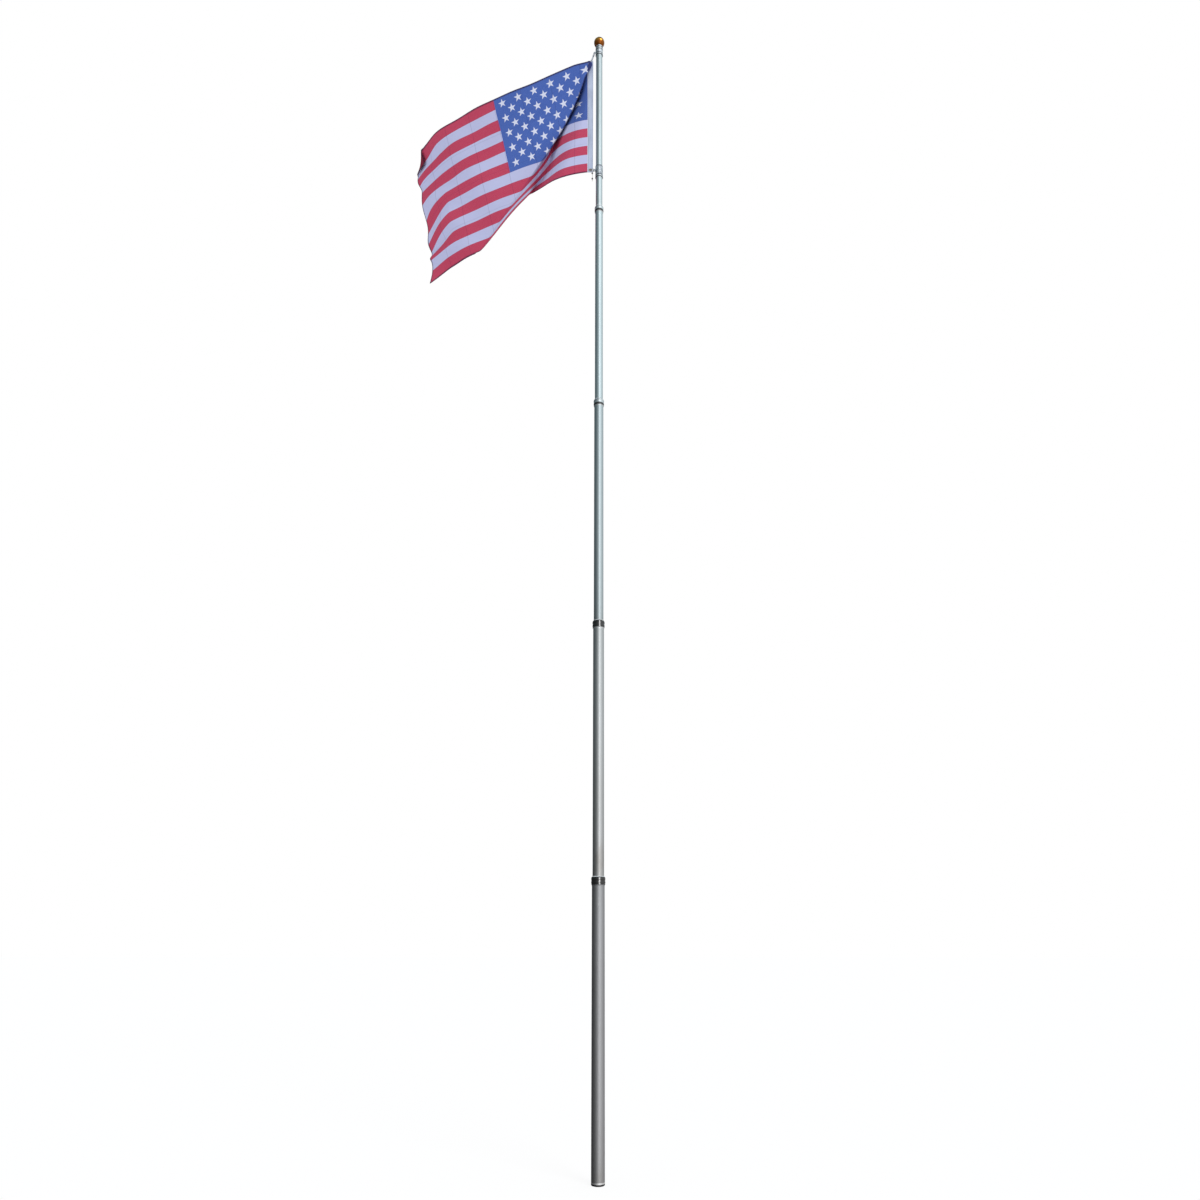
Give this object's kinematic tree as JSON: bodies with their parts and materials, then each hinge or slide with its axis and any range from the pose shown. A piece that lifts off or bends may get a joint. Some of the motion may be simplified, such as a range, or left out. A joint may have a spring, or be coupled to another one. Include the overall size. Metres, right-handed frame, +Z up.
{
  "type": "telescoping flagpole",
  "caption": "Telescoping aluminium flagpole with black collars, a gold ball finial and a striped national flag on swivel rings.",
  "frame": {"origin": "centre of the foot's flat underside, at ground level", "axes": "+Z up along the pole, -X towards the flying flag, -Y towards the viewer"},
  "size_m": [1.3812, 0.8847, 6.9635],
  "materials": {
    "foot": "matt black moulding",
    "tube": "satin drawn aluminium",
    "collar": "gloss black moulding",
    "bushing": "pale nylon",
    "ferrule": "turned aluminium",
    "ball": "gold lacquer",
    "ring": "satin",
    "clip": "zinc plated",
    "grommet": "plain",
    "heading": "canvas heading",
    "field": "printed polyester",
    "cord": "braided cord"
  },
  "bodies": {
    "base": {"foot": "foot", "tube_1": "tube", "collar_1": "collar", "bushing_1": "bushing"},
    "section_2": {"tube_2": "tube", "collar_2": "collar", "bushing_2": "bushing"},
    "section_3": {"tube_3": "tube", "collar_3": "collar", "bushing_3": "bushing"},
    "section_4": {"tube_4": "tube", "collar_4": "collar", "bushing_4": "bushing"},
    "section_5": {"tube_5": "tube", "finial_ferrule": "ferrule", "finial_ball": "ball", "upper_stop_ring": "ring", "middle_stop_ring": "ring", "lower_stop_ring": "ring"},
    "flag_rig": {"upper_swivel_ring": "ring", "upper_clip": "clip", "upper_grommet": "grommet", "flag_heading": "heading", "flag_field": "field", "lower_grommet": "grommet", "lower_swivel_ring": "ring", "lower_clip": "clip", "tie_cord": "cord"}
  },
  "joints": [
    {"name": "slide_2", "type": "slide", "parent": "base", "child": "section_2", "axis": [0, 0, 1], "range_m": [-1.277, 0]},
    {"name": "slide_3", "type": "slide", "parent": "section_2", "child": "section_3", "axis": [0, 0, 1], "range_m": [-1.335, 0]},
    {"name": "slide_4", "type": "slide", "parent": "section_3", "child": "section_4", "axis": [0, 0, 1], "range_m": [-1.335, 0]},
    {"name": "slide_5", "type": "slide", "parent": "section_4", "child": "section_5", "axis": [0, 0, 1], "range_m": [-0.218, 0]},
    {"name": "flag_swivel", "type": "hinge", "parent": "section_5", "child": "flag_rig", "pos_m": [0, 0, 6.4], "axis": [0, 0, 1], "continuous": true}
  ]
}
